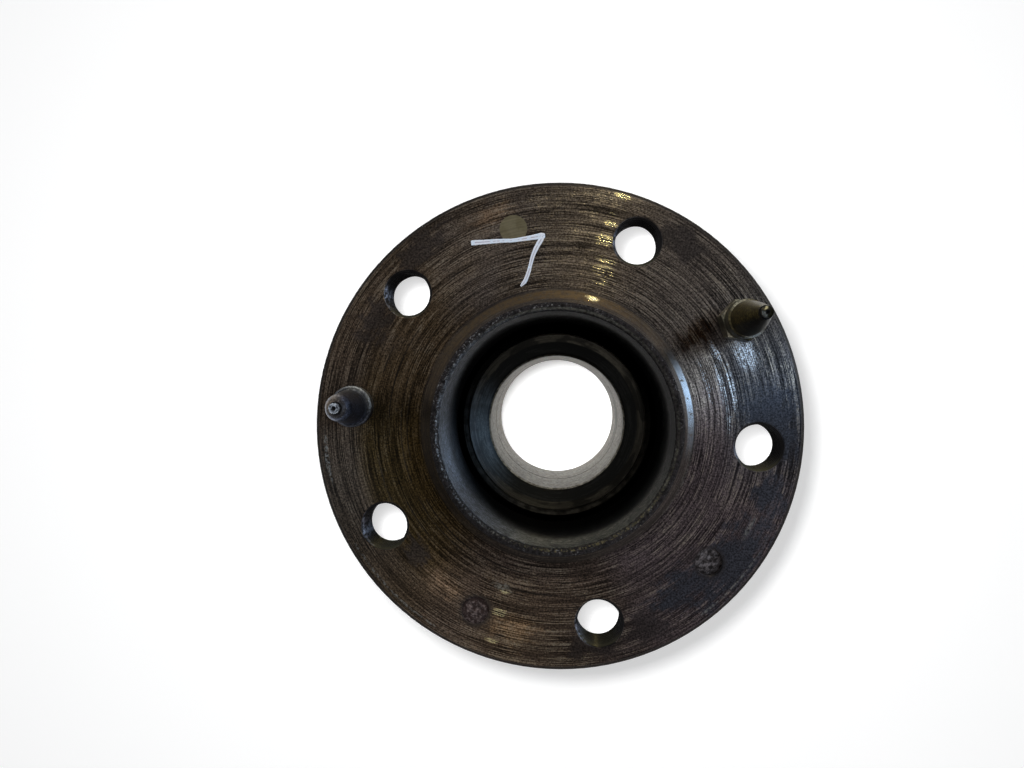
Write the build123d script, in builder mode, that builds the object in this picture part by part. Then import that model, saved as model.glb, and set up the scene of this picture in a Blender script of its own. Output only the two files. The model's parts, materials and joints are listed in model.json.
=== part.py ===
from build123d import *
import math
import os

# A flanged wheel hub that turns with the wheel. A sealed double-row angular-contact ball bearing is
# pressed into its barrel from the inboard end, and the bearing's two inner rings clamp on a fixed
# stub axle. Millimetres. The origin is the centre of the wheel flange's face, and +Z points
# outboard, towards the wheel.

os.makedirs("parts", exist_ok=True)

# Bearing envelope.
bearing_bore_r = 18.0
bearing_outer_r = 36.0
bearing_width = 45.0
bearing_face_depth = 22.0
ring_edge_chamfer = 0.8

# Rolling parts. The balls fill most of the section between bore and outside. They run in grooves a
# little wider than themselves, at a contact angle whose lines spread towards the shaft, so each
# inner ring is high outside and the outer ring is high between the rows. Shoulders stand off the
# pitch circle by shares of the ball's radius.
ball_fill = 0.6174
contact_angle = 35.0
groove_conformity = 1.04
ball_play = 0.05
least_ball_gap = 1.9
high_shoulder_share = 0.54
low_shoulder_share = 0.9
outer_open_step = 0.35

# Snap cages: a ring behind the balls with round pockets that close over them.
cage_half_width = 1.9
cage_back = 1.3
cage_grip = 0.55
pocket_play = 0.15
relief_r = 1.2
relief_depth = 3.2

# Seals: a pressed steel case in the outer ring's mouth, with rubber bonded on it.
seal_recess = 0.4
seal_depth = 4.2
seal_seat_step = 0.6
seal_to_cage = 1.0
seal_sheet = 0.7
seal_web = 1.6
seal_case_reach = 2.2
lip_play = 0.1

# Clip that holds the two inner rings together until they are clamped.
clip_half_width = 3.0
clip_thickness = 0.6
clip_hook = 0.5
clip_gap = 4.0
clip_play = 0.05

# Wheel flange and spigot.
flange_rim = 10.7
flange_thickness = 10.5
flange_edge = 1.0
flange_back_fillet = 1.4
spigot_height = 14.0
spigot_wall = 2.0
spigot_outer_edge = 0.5
spigot_inner_edge = 1.0
spigot_root_r = 5.5
spigot_root_reach = 4.3
recess_clearance = 3.0

# Barrel.
barrel_wall = 5.5
barrel_edge = 0.8
seat_corner_fillet = 0.6

# Circlip in its groove behind the bearing.
circlip_thickness = 2.5
circlip_groove_depth = 1.5
circlip_play = 0.05
circlip_groove_play = 0.15
circlip_end_land = 3.45
circlip_width = 5.2
circlip_taper = 1.2
circlip_lug_r = 3.3
circlip_eye_r = 1.25
circlip_lug_angle = 9.0
circlip_gap = 5.0

# Wheel-speed tone ring pressed on the barrel's inboard end.
tone_seat_step = 0.5
tone_ring_height = 9.0
tone_ring_end = 2.0
tone_ring_wall = 3.0
tone_tooth_height = 2.4
tone_tooth_share = 0.5
tone_tooth_pitch = 6.4

# Wheel bolt holes: M12 x 1.25 on a 98 mm circle, bored to the thread's nominal radius.
wheel_bolt_circle_r = 49.0
wheel_bolt_count = 5
wheel_bolt_r = 6.0
countersink_r = 6.15
countersink_angle = 90.0
first_wheel_bolt_angle = 66.3

# Tapped holes for small screws, midway between the wheel bolts. Two hold wheel locating pins and
# three hold what is left of broken disc screws.
small_circle_offset = 0.4
small_hole_r = 3.4
stub_length = 8.0

# Both locating pins stand on plain shanks that pass through the brake disc, and end in a button.
button_neck_r = 0.9
button_neck_length = 0.5
button_r = 1.2
button_length = 1.1
dimple_r = 0.5
dimple_depth = 0.5

# Long locating pin: hexagonal collar, round drum, then a pointed body.
long_pin_rise = 5.4
hex_across_flats = 8.9
hex_height = 5.4
hex_corner_drop = 0.5
hex_turn = 17.7
drum_inset = 0.05
drum_height = 4.9
drum_edge = 0.4
long_pin_length = 30.4
long_pin_nose_r = 1.5
long_pin_bulge = 0.2

# Short locating pin: round collar, slightly tapered body and blunt nose.
short_pin_rise = 4.0
collar_r = 4.95
collar_height = 2.9
collar_edge = 0.45
short_pin_body_r = 3.95
short_pin_straight = 2.0
short_pin_taper_r = 3.15
short_pin_taper_length = 8.3
short_pin_nose_r = 1.45
short_pin_nose_length = 2.8
short_pin_nose_bulge = 0.4

# Levels and radii that follow from the sizes above.
pitch_r = (bearing_bore_r + bearing_outer_r) / 2
ball_r = ball_fill * (bearing_outer_r - bearing_bore_r) / 2
outboard_face_z = -bearing_face_depth
inboard_face_z = outboard_face_z - bearing_width
joint_z = (outboard_face_z + inboard_face_z) / 2
ring_width = bearing_width / 2
row_to_face = seal_recess + seal_depth + seal_to_cage + cage_back + ball_r
row_offset = ring_width - row_to_face

groove_r = ball_r * groove_conformity
groove_shift = groove_r - ball_r - ball_play
groove_shift_r = groove_shift * math.cos(math.radians(contact_angle))
groove_shift_z = groove_shift * math.sin(math.radians(contact_angle))
inner_shoulder_r = pitch_r - high_shoulder_share * ball_r
inner_low_r = pitch_r - low_shoulder_share * ball_r
outer_land_r = pitch_r + high_shoulder_share * ball_r
outer_bottom_r = pitch_r - groove_shift_r + groove_r
outer_open_r = outer_bottom_r - outer_open_step
seal_seat_r = outer_bottom_r + seal_seat_step

balls_per_row = math.floor(2 * math.pi * pitch_r / (2 * ball_r + least_ball_gap))

recess_r = inner_shoulder_r + recess_clearance
spigot_r = recess_r + spigot_wall
barrel_r = bearing_outer_r + barrel_wall
tone_seat_r = barrel_r - tone_seat_step
groove_floor_r = bearing_outer_r + circlip_groove_depth
groove_end_z = inboard_face_z - circlip_thickness - circlip_groove_play
barrel_end_z = groove_end_z - circlip_end_land
tone_end_z = barrel_end_z + tone_ring_end
tone_start_z = tone_end_z + tone_ring_height

flange_r = wheel_bolt_circle_r + flange_rim
small_circle_r = wheel_bolt_circle_r + small_circle_offset
half_bolt_pitch = 180 / wheel_bolt_count
first_small_angle = first_wheel_bolt_angle - half_bolt_pitch


def small_hole_angle(number):
    """Angle of a small screw hole, counted round from the first."""
    return first_small_angle + number * 2 * half_bolt_pitch


def small_hole_centre(number, height=0.0):
    """Point on a small screw hole's axis."""
    angle = math.radians(small_hole_angle(number))
    return (small_circle_r * math.cos(angle), small_circle_r * math.sin(angle), height)


def small_hole_upright(number):
    """Plane through a small hole's axis: its first axis points radially, its second up the hole."""
    angle = math.radians(small_hole_angle(number))
    radial = (math.cos(angle), math.sin(angle), 0)
    across = (math.sin(angle), -math.cos(angle), 0)
    return Plane(origin=small_hole_centre(number), x_dir=radial, z_dir=across)


def small_hole_axis(number):
    """Axis of a small screw hole."""
    return Axis(small_hole_centre(number), (0, 0, 1))


def button_points(height):
    """Half outline of a pin's button tip, from the foot of its neck in to the pin's axis."""
    neck_end = height + button_neck_length
    button_end = neck_end + button_length
    return [
        (button_neck_r, height),
        (button_neck_r, neck_end),
        (button_r, neck_end),
        (button_r, button_end),
        (dimple_r, button_end),
        (0, button_end - dimple_depth),
    ]


def bulged_middle(start, end, bulge):
    """Middle point of an arc that stands out sideways from its chord."""
    return ((start[0] + end[0]) / 2 + bulge, (start[1] + end[1]) / 2)


def write(part, name):
    """Label a finished piece and write it under its own name."""
    part.label = name
    export_step(part, f"parts/{name}.step")


# Hub: flange, spigot and barrel in one forging, turned all over.
root_corner = math.sqrt(spigot_root_r**2 - (spigot_root_r - spigot_root_reach) ** 2)
with BuildPart() as hub_flange:
    with BuildSketch(Plane.XZ) as hub_section:
        with BuildLine():
            Polyline(
                (spigot_r, root_corner),
                (spigot_r, spigot_height - spigot_outer_edge),
                (spigot_r - spigot_outer_edge, spigot_height),
                (recess_r + spigot_inner_edge, spigot_height),
                (recess_r, spigot_height - spigot_inner_edge),
                (recess_r, outboard_face_z),
                (bearing_outer_r, outboard_face_z),
                (bearing_outer_r, inboard_face_z),
                (groove_floor_r, inboard_face_z),
                (groove_floor_r, groove_end_z),
                (bearing_outer_r, groove_end_z),
                (bearing_outer_r, barrel_end_z + barrel_edge),
                (bearing_outer_r + barrel_edge, barrel_end_z),
                (tone_seat_r - barrel_edge, barrel_end_z),
                (tone_seat_r, barrel_end_z + barrel_edge),
                (tone_seat_r, tone_start_z),
                (barrel_r, tone_start_z),
                (barrel_r, -flange_thickness),
                (flange_r - flange_edge, -flange_thickness),
                (flange_r, -flange_thickness + flange_edge),
                (flange_r, -flange_edge),
                (flange_r - flange_edge, 0),
                (spigot_r + spigot_root_reach, 0),
            )
            RadiusArc(
                (spigot_r + spigot_root_reach, 0),
                (spigot_r, root_corner),
                spigot_root_r,
            )
        make_face()
        back_corner = hub_section.vertices().sort_by_distance((barrel_r, -flange_thickness))[0]
        fillet(back_corner, flange_back_fillet)
        seat_corner = hub_section.vertices().sort_by_distance((bearing_outer_r, outboard_face_z))[0]
        fillet(seat_corner, seat_corner_fillet)
    revolve(axis=Axis.Z)
    with PolarLocations(wheel_bolt_circle_r, wheel_bolt_count, first_wheel_bolt_angle):
        CounterSinkHole(wheel_bolt_r, countersink_r, counter_sink_angle=countersink_angle)
    with PolarLocations(small_circle_r, wheel_bolt_count, first_small_angle):
        Hole(small_hole_r)
write(hub_flange.part, "hub_flange")

# Bearing outer ring: one ring with both raceways, and a mouth at each end for a seal. Half of the
# section is drawn from the middle of the land outwards, and mirrored.
outer_centre_r = pitch_r - groove_shift_r
outer_centre_h = row_offset + groove_shift_z
land_end_h = outer_centre_h - math.sqrt(groove_r**2 - (outer_land_r - outer_centre_r) ** 2)
open_start_h = outer_centre_h + math.sqrt(groove_r**2 - (outer_open_r - outer_centre_r) ** 2)
seat_end_h = ring_width - seal_recess - seal_depth
with BuildPart() as bearing_outer_ring:
    with BuildSketch(Plane.XZ):
        with BuildLine():
            Polyline(
                (bearing_outer_r, joint_z),
                (bearing_outer_r, outboard_face_z - ring_edge_chamfer),
                (bearing_outer_r - ring_edge_chamfer, outboard_face_z),
                (seal_seat_r, outboard_face_z),
                (seal_seat_r, joint_z + seat_end_h),
                (outer_open_r, joint_z + seat_end_h),
                (outer_open_r, joint_z + open_start_h),
            )
            ThreePointArc(
                (outer_open_r, joint_z + open_start_h),
                (outer_centre_r + groove_r, joint_z + outer_centre_h),
                (outer_land_r, joint_z + land_end_h),
            )
            Polyline(
                (outer_land_r, joint_z + land_end_h),
                (outer_land_r, joint_z),
                (bearing_outer_r, joint_z),
            )
        make_face()
    revolve(axis=Axis.Z)
    mirror(about=Plane.XY.offset(joint_z))
write(bearing_outer_ring.part, "bearing_outer_ring")

# Inner rings: alike, back to back on the joint, each with its high shoulder outside.
inner_centre_r = pitch_r + groove_shift_r
inner_centre_h = row_offset - groove_shift_z
shoulder_start_h = inner_centre_h + math.sqrt(groove_r**2 - (inner_centre_r - inner_shoulder_r) ** 2)
low_end_h = inner_centre_h - math.sqrt(groove_r**2 - (inner_centre_r - inner_low_r) ** 2)
clip_seat_r = inner_low_r - clip_thickness - clip_play
hook_seat_r = clip_seat_r - clip_hook
hook_inner_h = clip_half_width - clip_thickness


def make_inner_ring(side):
    """One inner ring; side is 1 for the outboard ring and -1 for the inboard one."""

    def at(radius, height):
        return (radius, joint_z + side * height)

    with BuildPart() as ring:
        with BuildSketch(Plane.XZ):
            with BuildLine():
                Polyline(
                    at(inner_low_r, low_end_h),
                    at(inner_low_r, clip_half_width + clip_play),
                    at(hook_seat_r, clip_half_width + clip_play),
                    at(hook_seat_r, hook_inner_h - clip_play),
                    at(clip_seat_r, hook_inner_h - clip_play),
                    at(clip_seat_r, 0),
                    at(bearing_bore_r + ring_edge_chamfer / 2, 0),
                    at(bearing_bore_r, ring_edge_chamfer / 2),
                    at(bearing_bore_r, ring_width - ring_edge_chamfer),
                    at(bearing_bore_r + ring_edge_chamfer, ring_width),
                    at(inner_shoulder_r - ring_edge_chamfer / 2, ring_width),
                    at(inner_shoulder_r, ring_width - ring_edge_chamfer / 2),
                    at(inner_shoulder_r, shoulder_start_h),
                )
                ThreePointArc(
                    at(inner_shoulder_r, shoulder_start_h),
                    at(inner_centre_r - groove_r, inner_centre_h),
                    at(inner_low_r, low_end_h),
                )
            make_face()
        revolve(axis=Axis.Z)
    return ring


# The clip is a split ring with a hook along each edge, sprung into grooves of both inner rings.
with BuildPart() as inner_ring_clip:
    with BuildSketch(Plane.XZ):
        with Locations((inner_low_r - clip_thickness / 2, joint_z)):
            Rectangle(clip_thickness, 2 * clip_half_width)
        hook_mid_r = inner_low_r - clip_thickness - clip_hook / 2
        hook_mid_h = clip_half_width - clip_thickness / 2
        with Locations((hook_mid_r, joint_z + hook_mid_h), (hook_mid_r, joint_z - hook_mid_h)):
            Rectangle(clip_hook, clip_thickness)
    revolve(axis=Axis.Z)
    with Locations((inner_low_r, 0, joint_z)):
        Box(2 * clip_hook + 4 * clip_thickness, clip_gap, 3 * clip_half_width, mode=Mode.SUBTRACT)
write(inner_ring_clip.part, "inner_ring_clip")


def make_cage(side):
    """Snap cage of one row: pockets open towards the joint, moulding reliefs in the back."""
    row_z = joint_z + side * row_offset
    back_h = ball_r + cage_back
    ball_pitch = 360 / balls_per_row
    with BuildPart() as cage:
        with BuildSketch(Plane.XZ):
            with BuildLine():
                Polyline(
                    (pitch_r - cage_half_width, row_z - side * cage_grip * ball_r),
                    (pitch_r + cage_half_width, row_z - side * cage_grip * ball_r),
                    (pitch_r + cage_half_width, row_z + side * back_h),
                    (pitch_r - cage_half_width, row_z + side * back_h),
                    close=True,
                )
            make_face()
        revolve(axis=Axis.Z)
        fillet(cage.edges().group_by(Axis.Z)[-1 if side > 0 else 0], cage_half_width / 4)
        with Locations((0, 0, row_z)):
            with PolarLocations(pitch_r, balls_per_row):
                Sphere(ball_r + pocket_play, mode=Mode.SUBTRACT)
        with Locations((0, 0, row_z + side * (back_h - relief_depth / 2))):
            with PolarLocations(pitch_r, balls_per_row, ball_pitch / 2):
                Cylinder(relief_r, relief_depth, mode=Mode.SUBTRACT)
    return cage


lip_r = inner_shoulder_r + lip_play
case_bore_r = inner_shoulder_r + seal_case_reach


def make_seal_case(side):
    """Pressed steel carrier of one seal: a rim in the outer ring's mouth and a floor inside."""
    mouth_z = joint_z + side * (ring_width - seal_recess)
    floor_z = joint_z + side * seat_end_h
    with BuildPart() as case:
        with BuildSketch(Plane.XZ):
            with BuildLine():
                Polyline(
                    (seal_seat_r, mouth_z),
                    (seal_seat_r, floor_z),
                    (case_bore_r, floor_z),
                    (case_bore_r, floor_z + side * seal_sheet),
                    (seal_seat_r - seal_sheet, floor_z + side * seal_sheet),
                    (seal_seat_r - seal_sheet, mouth_z),
                    close=True,
                )
            make_face()
        revolve(axis=Axis.Z)
    return case


def make_seal_lip(side):
    """Rubber of one seal: rim, web, an outer dust lip and a main lip, both on the inner ring."""
    floor_z = joint_z + side * (seat_end_h + seal_sheet)
    mouth_h = seal_depth - seal_sheet
    rim_r = seal_seat_r - seal_sheet

    def at(radius, height):
        return (radius, floor_z + side * height)

    with BuildPart() as lip:
        with BuildSketch(Plane.XZ):
            with BuildLine():
                Polyline(
                    at(rim_r, 0),
                    at(rim_r, mouth_h),
                    at(rim_r - seal_web / 2, mouth_h),
                    at(rim_r - seal_web, seal_web),
                    at(case_bore_r + seal_web / 2, seal_web),
                    at(case_bore_r - seal_web / 4, mouth_h * 0.85),
                    at(lip_r, mouth_h * 0.95),
                    at(lip_r, mouth_h * 0.8),
                    at(case_bore_r - seal_web / 2, seal_web * 0.8),
                    at(lip_r, seal_web * 0.4),
                    at(lip_r, 0),
                    at(case_bore_r - seal_web / 2, -seal_sheet),
                    at(case_bore_r, -seal_sheet),
                    at(case_bore_r, 0),
                    close=True,
                )
            make_face()
        revolve(axis=Axis.Z)
    return lip


for side, side_name in ((1, "outboard"), (-1, "inboard")):
    write(make_inner_ring(side).part, f"inner_ring_{side_name}")
    write(make_cage(side).part, f"cage_{side_name}")
    write(make_seal_case(side).part, f"seal_case_{side_name}")
    write(make_seal_lip(side).part, f"seal_lip_{side_name}")
    row_z = joint_z + side * row_offset
    for number in range(balls_per_row):
        angle = 2 * math.pi * number / balls_per_row
        centre = (pitch_r * math.cos(angle), pitch_r * math.sin(angle), row_z)
        with BuildPart(Plane(origin=centre)) as ball:
            Sphere(ball_r)
        write(ball.part, f"ball_{side_name}_{number + 1:02d}")

# Circlip: an internal retaining ring that narrows towards two eyed lugs.
circlip_top_z = inboard_face_z - circlip_play
circlip_r = groove_floor_r - circlip_play
circlip_inner_r = circlip_r - circlip_width
lug_circle_r = circlip_inner_r + circlip_taper - circlip_lug_r / 4
with BuildPart() as circlip:
    with BuildSketch(Plane.XY.offset(circlip_top_z)):
        Circle(circlip_r)
        with Locations((circlip_taper, 0)):
            Circle(circlip_inner_r, mode=Mode.SUBTRACT)
        with Locations((circlip_r, 0)):
            Rectangle(2 * circlip_width, circlip_gap, mode=Mode.SUBTRACT)
        with PolarLocations(lug_circle_r, 2, -circlip_lug_angle, 2 * circlip_lug_angle, endpoint=True):
            Circle(circlip_lug_r)
            Circle(circlip_eye_r, mode=Mode.SUBTRACT)
    extrude(amount=-circlip_thickness)
write(circlip.part, "circlip")

# Tone ring: square teeth round a plain ring that butts on the barrel's step.
tone_root_r = tone_seat_r + tone_ring_wall
tooth_count = round(2 * math.pi * (tone_root_r + tone_tooth_height) / tone_tooth_pitch)
tooth_width = tone_tooth_pitch * tone_tooth_share
with BuildPart() as abs_tone_ring:
    with BuildSketch(Plane.XY.offset(tone_end_z)):
        Circle(tone_root_r)
        with PolarLocations(tone_root_r, tooth_count):
            Rectangle(2 * tone_tooth_height, tooth_width)
        Circle(tone_seat_r, mode=Mode.SUBTRACT)
    extrude(amount=tone_ring_height)
write(abs_tone_ring.part, "abs_tone_ring")

# Long locating pin, in the first small hole.
hex_corner_r = hex_across_flats / 2 / math.cos(math.pi / 6)
hex_end = long_pin_rise + hex_height
drum_r = hex_across_flats / 2 - drum_inset
drum_end = hex_end + drum_height
with BuildPart() as locating_pin_long:
    hex_plane = Plane(
        origin=small_hole_centre(0, long_pin_rise), x_dir=small_hole_upright(0).x_dir, z_dir=(0, 0, 1)
    )
    with BuildSketch(hex_plane):
        RegularPolygon(hex_corner_r, 6, rotation=hex_turn)
    extrude(amount=hex_height)
    with BuildSketch(small_hole_upright(0)):
        with BuildLine():
            Polyline(
                (hex_across_flats / 2 - hex_corner_drop, hex_end + hex_corner_drop),
                (2 * hex_corner_r, hex_end + hex_corner_drop),
                (2 * hex_corner_r, hex_end - hex_corner_drop),
                (hex_corner_r, hex_end - hex_corner_drop),
                close=True,
            )
        make_face()
    revolve(axis=small_hole_axis(0), mode=Mode.SUBTRACT)
    with BuildSketch(small_hole_upright(0)):
        with BuildLine():
            body_start = (drum_r - drum_edge, drum_end)
            body_end = (long_pin_nose_r, long_pin_length)
            Polyline(
                (0, -flange_thickness),
                (small_hole_r, -flange_thickness),
                (small_hole_r, long_pin_rise),
                (drum_r, long_pin_rise),
                (drum_r, drum_end - drum_edge),
                body_start,
            )
            ThreePointArc(body_start, bulged_middle(body_start, body_end, long_pin_bulge), body_end)
            Polyline(body_end, *button_points(long_pin_length), (0, -flange_thickness))
        make_face()
    revolve(axis=small_hole_axis(0))
write(locating_pin_long.part, "locating_pin_long")

# Short locating pin, in the third small hole.
collar_end = short_pin_rise + collar_height
taper_start = collar_end + short_pin_straight
taper_end = taper_start + short_pin_taper_length
short_pin_length = taper_end + short_pin_nose_length
with BuildPart() as locating_pin_short:
    with BuildSketch(small_hole_upright(2)):
        with BuildLine():
            nose_start = (short_pin_taper_r, taper_end)
            nose_end = (short_pin_nose_r, short_pin_length)
            Polyline(
                (0, -flange_thickness),
                (small_hole_r, -flange_thickness),
                (small_hole_r, short_pin_rise),
                (collar_r, short_pin_rise),
                (collar_r, collar_end - collar_edge),
                (collar_r - collar_edge, collar_end),
                (short_pin_body_r, collar_end),
                (short_pin_body_r, taper_start),
                nose_start,
            )
            ThreePointArc(nose_start, bulged_middle(nose_start, nose_end, short_pin_nose_bulge), nose_end)
            Polyline(nose_end, *button_points(short_pin_length), (0, -flange_thickness))
        make_face()
    revolve(axis=small_hole_axis(2))
write(locating_pin_short.part, "locating_pin_short")

# Broken screws: the top one ground flush, the lower two torn off on the slant.
stub_names = {
    1: ("screw_stub_top", 0.0, 0.0),
    3: ("screw_stub_lower_left", 0.2, 10.0),
    4: ("screw_stub_lower_right", 0.3, -12.0),
}
for number, (stub_name, sunk, tear_angle) in stub_names.items():
    tear_rise = small_hole_r * math.tan(math.radians(tear_angle))
    tear_mid = -sunk - abs(tear_rise)
    with BuildPart() as stub:
        with BuildSketch(Plane(origin=small_hole_centre(number, tear_mid - stub_length))):
            Circle(small_hole_r)
        extrude(amount=stub_length + abs(tear_rise))
        if tear_rise:
            with BuildSketch(small_hole_upright(number)):
                with BuildLine():
                    Polyline(
                        (-small_hole_r, tear_mid - tear_rise),
                        (small_hole_r, tear_mid + tear_rise),
                        (small_hole_r, small_hole_r),
                        (-small_hole_r, small_hole_r),
                        close=True,
                    )
                make_face()
            extrude(amount=small_hole_r, both=True, mode=Mode.SUBTRACT)
    write(stub.part, stub_name)
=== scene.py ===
import json
import math

import bpy
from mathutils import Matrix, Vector, noise


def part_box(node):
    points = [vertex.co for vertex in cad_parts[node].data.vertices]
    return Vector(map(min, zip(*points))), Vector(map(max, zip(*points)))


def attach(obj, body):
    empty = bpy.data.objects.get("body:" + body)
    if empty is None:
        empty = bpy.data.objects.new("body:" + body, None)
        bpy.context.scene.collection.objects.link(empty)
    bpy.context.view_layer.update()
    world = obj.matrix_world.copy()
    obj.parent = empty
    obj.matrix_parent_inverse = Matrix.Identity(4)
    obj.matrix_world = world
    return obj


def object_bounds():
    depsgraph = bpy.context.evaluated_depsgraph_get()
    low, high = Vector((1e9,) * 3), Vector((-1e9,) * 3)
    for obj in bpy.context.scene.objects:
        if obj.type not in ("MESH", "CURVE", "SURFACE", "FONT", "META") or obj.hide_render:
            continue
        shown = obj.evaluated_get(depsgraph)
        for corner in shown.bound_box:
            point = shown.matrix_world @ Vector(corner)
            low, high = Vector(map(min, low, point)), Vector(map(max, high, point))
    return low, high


# Looks of a flanged wheel hub with its bearing. The frame's origin is the centre of the flange's
# face and +Z points outboard. Lengths named here are in millimetres, and MM turns them to metres.

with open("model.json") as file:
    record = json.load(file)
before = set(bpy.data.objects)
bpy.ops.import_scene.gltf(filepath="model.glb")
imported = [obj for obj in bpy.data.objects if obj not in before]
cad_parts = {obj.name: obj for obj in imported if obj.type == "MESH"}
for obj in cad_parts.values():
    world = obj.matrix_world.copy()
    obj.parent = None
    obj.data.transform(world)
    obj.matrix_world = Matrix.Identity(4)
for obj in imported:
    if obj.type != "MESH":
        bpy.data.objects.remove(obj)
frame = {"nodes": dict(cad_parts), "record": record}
cad_low, cad_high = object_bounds()

MM = 0.001
ORIGIN = (0, 0, 0)


def top_of(name):
    """Level of a node's top, in millimetres."""
    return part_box(name)[1].z / MM


# Camera: above the flange's face, a little to one side, looking almost straight down.
CAMERA_PLACE = (0.17, 10.5, 198.5)
CAMERA_TILT = (-0.001, 0.0555, 0)
LENS = 28.55
SENSOR = 36.0

# Hub, measured from its own levels.
FLANGE_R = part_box("hub_flange")[1].x / MM
LAND_LEVEL = top_of("hub_flange")
RING_FACE = top_of("inner_ring_outboard")
RING_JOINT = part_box("inner_ring_outboard")[0].z / MM
MOUNTS = {mount["name"]: mount["dims"] for mount in frame["record"]["mounts"]}
SPIGOT_R = MOUNTS["wheel_spigot"]["r_mm"]
RECESS_R = MOUNTS["grease_cap_bore"]["r_mm"]
BORE_R = MOUNTS["stub_axle_bore"]["r_mm"]
ROOT_R = SPIGOT_R + 4.3
BACK_LEVEL = -10.5

# Bands of the outboard inner ring: the washer's edge, the corner with a painted reflection, and what the
# seal hides.
WASHER_R = 21.5
RING_CORNER_R = 23.5
RING_HIDDEN_R = 25.6

# Holes round the flange.
BOLT_COUNT = MOUNTS["wheel_bolts"]["count"]
BOLT_CIRCLE_R = MOUNTS["wheel_bolts"]["pcd_mm"] / 2
BOLT_HOLE_R = MOUNTS["wheel_bolts"]["hole_r_mm"]
BOLT_ANGLE = 66.3
BOLT_STEP = 360 / BOLT_COUNT
SMALL_CIRCLE_R = 49.4
SMALL_ANGLE = BOLT_ANGLE - BOLT_STEP / 2
SMALL_HOLE_R = 3.4

# Locating pins: shoulders and buttons measured down from their tops, and the drum's foot.
LONG_PIN_BODY = 16.3
LONG_DRUM_FOOT = 10.9
SHORT_PIN_BODY = 14.7
BUTTON_LENGTH = 1.1

# Thread ridges of the wheel bolt holes: radius and rise of each corner of their section.
THREAD_PITCH = 1.25
THREAD_STEPS = 48
THREAD_TOP = -0.55
THREAD_BOTTOM = BACK_LEVEL + 0.6
THREAD_FOOT_R = BOLT_HOLE_R + 0.03
THREAD_CREST_R = 5.325
THREAD_SECTION = (
    (THREAD_FOOT_R, -0.52), (THREAD_CREST_R, -0.09), (THREAD_CREST_R, 0.09), (THREAD_FOOT_R, 0.52),
)

# Colours as linear red, green and blue.
BROWN_OXIDE = (0.1, 0.066, 0.036)
DARK_SIDE_BROWN = (0.046, 0.029, 0.01)
GREY_BROWN = (0.112, 0.092, 0.08)
BLUE_GREY = (0.066, 0.069, 0.082)
OUTER_SIDE_BROWN = (0.074, 0.055, 0.043)
VIOLET_BROWN = (0.106, 0.082, 0.088)
TAN_BROWN = (0.082, 0.06, 0.049)
TAN_STEEL = (0.18, 0.12, 0.078)
BLUE_BLACK = (0.05, 0.056, 0.074)
DARK_OXIDE = (0.041, 0.036, 0.037)
RIM_DARK = (0.026, 0.022, 0.02)
SHADE_BROWN = (0.035, 0.018, 0.01)
WORN_STEEL = (0.3, 0.262, 0.205)
PALE_STEEL = (0.42, 0.42, 0.4)
ROOT_DARK = (0.055, 0.046, 0.04)
ROOT_TAN = (0.108, 0.074, 0.04)
BLUE_HIGHLIGHT = (0.21, 0.25, 0.3)
GRIME_AND_SHADE_BLACK = (0.01, 0.01, 0.011)
GREASE_AND_SHADE_BLACK = (0.0016, 0.0016, 0.0018)
GLINT_BLUE = (0.58, 0.645, 0.73)
GLINT_GOLD = (0.98, 0.86, 0.5)
CRUST = (0.02, 0.017, 0.018)
CRUST_SPECK = (0.23, 0.23, 0.235)
EDGE_BLUE = (0.09, 0.1, 0.12)
OLIVE_GREY = (0.1, 0.098, 0.082)
PALE_FLAKE_HIGHLIGHT = (0.3, 0.34, 0.4)
YELLOW_FLAKE_HIGHLIGHT = (0.2, 0.17, 0.085)
WALL_DARK = (0.062, 0.06, 0.057)
WALL_BLUE = (0.145, 0.17, 0.215)
WALL_OLIVE = (0.11, 0.106, 0.08)
MOUTH_STEEL = (0.1, 0.11, 0.13)
HOLE_WALL = (0.018, 0.017, 0.018)
HOLE_OLIVE = (0.06, 0.056, 0.036)
HOLE_LIGHT_STREAK = (0.2, 0.205, 0.25)
GROUND_STEEL = (0.42, 0.405, 0.38)
RING_BLACK = (0.016, 0.016, 0.015)
RING_BLUE = (0.1, 0.13, 0.16)
RING_EDGE_DARK = (0.026, 0.024, 0.02)
RING_EDGE = (0.062, 0.056, 0.044)
DRIED_GREASE = (0.1, 0.09, 0.072)
RING_EDGE_BLUE = (0.09, 0.115, 0.145)
BORE_PALE = (0.32, 0.302, 0.255)
BORE_BEIGE = (0.265, 0.24, 0.19)
BORE_SPECK = (0.045, 0.038, 0.032)
PIN_OLIVE = (0.066, 0.052, 0.018)
PIN_SHADE_BLACK = (0.008, 0.007, 0.004)
PIN_DULL = (0.075, 0.072, 0.052)
PIN_EDGE_HIGHLIGHT = (0.23, 0.215, 0.16)
PIN_EDGE_HIGHLIGHT_BLUE = (0.17, 0.2, 0.22)
PIN_FACET_LIT = (0.32, 0.29, 0.22)
PIN_TIP_GREY = (0.11, 0.11, 0.105)
PIN_TIP_GLINT = (0.46, 0.37, 0.19)
PIN_BLUE = (0.046, 0.056, 0.088)
PIN_LIT_BEIGE = (0.105, 0.082, 0.062)
PIN_END_DARK = (0.02, 0.019, 0.022)
PIN_SHOULDER_DARK = (0.034, 0.037, 0.048)
PIN_PALE_SPECK_AND_HIGHLIGHT = (0.24, 0.24, 0.225)
PIN_BUTTON = (0.52, 0.58, 0.68)
BALL_STEEL = (0.7, 0.71, 0.73)
BALL_DULL = (0.55, 0.54, 0.52)
CLIP_GREY = (0.12, 0.12, 0.13)
CLIP_DARK = (0.08, 0.08, 0.08)
CLIP_GREASE_AND_SHADE = (0.003, 0.003, 0.004)
CLIP_GREASE_AND_SHADE_DARK = (0.002, 0.002, 0.002)
TONE_GREY = (0.3, 0.29, 0.28)
TONE_RUST = (0.2, 0.13, 0.09)
STUB_OLIVE = (0.128, 0.112, 0.07)
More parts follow.
